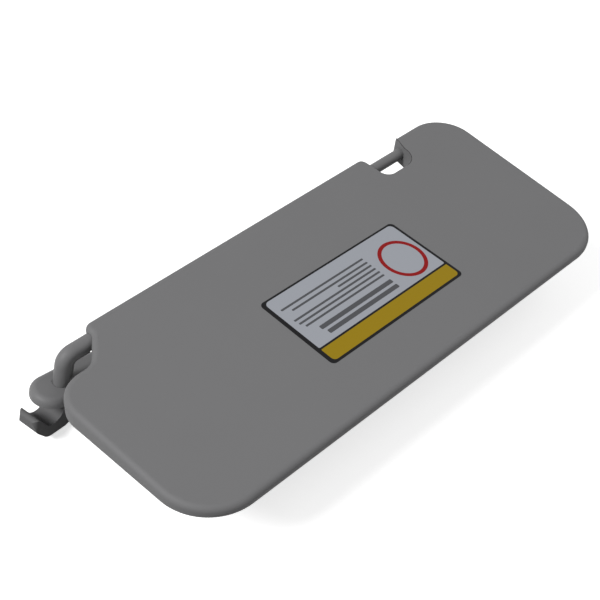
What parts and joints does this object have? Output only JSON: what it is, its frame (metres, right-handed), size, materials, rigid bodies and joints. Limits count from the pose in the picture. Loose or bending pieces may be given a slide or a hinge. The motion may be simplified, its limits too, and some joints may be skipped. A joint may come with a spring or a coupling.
{
  "type": "car sun visor",
  "caption": "Moulded sun visor panel on an elbow rod, with an oval roof mount, a hook and a notch with a bar for the roof clip.",
  "frame": {"origin": "centre of the mount's seat pad, on the face that rests against the roof", "axes": "+X along the hinge rod towards the free end, +Y towards the panel's hinge edge, +Z out of the panel's labelled face; the mount leans 9 degrees about Y"},
  "size_m": [0.415, 0.1769, 0.0642],
  "materials": {
    "visor_grey": "fine-grained matt",
    "arm_grey": "satin moulded",
    "hook_grey": "satin moulded",
    "bush_white": "plain moulded acetal",
    "housing_black": "plain moulded",
    "steel": "drawn bright",
    "label": "satin printed film"
  },
  "bodies": {
    "mount": {"mount_bracket": "hook_grey", "base_cover": "arm_grey", "swivel_bush": "bush_white", "thrust_washer": "bush_white"},
    "arm": {"elbow_arm": "arm_grey", "hinge_rod": "steel", "rod_stop_ring": "steel", "leg_ring": "steel"},
    "visor": {"front_shell": "visor_grey", "rear_shell": "visor_grey", "label_film": "label", "socket_bush": "bush_white", "rod_end_bush": "bush_white", "friction_housing": "housing_black", "housing_lid": "housing_black", "housing_screw_1": "steel", "housing_screw_2": "steel", "grip_clip": "steel", "clip_bar": "arm_grey", "bar_cup_left": "bush_white", "bar_cup_right": "bush_white"}
  },
  "joints": [
    {"name": "arm_swivel", "type": "hinge", "parent": "mount", "child": "arm", "pos_m": [-0.02296, 0, 0.00364], "axis": [0.1564, 0, 0.9877], "range_deg": [-95, 5]},
    {"name": "visor_flip", "type": "hinge", "parent": "arm", "child": "visor", "pos_m": [-0.01835, 0, 0.03277], "axis": [1, 0, 0], "range_deg": [-150, 8]}
  ]
}
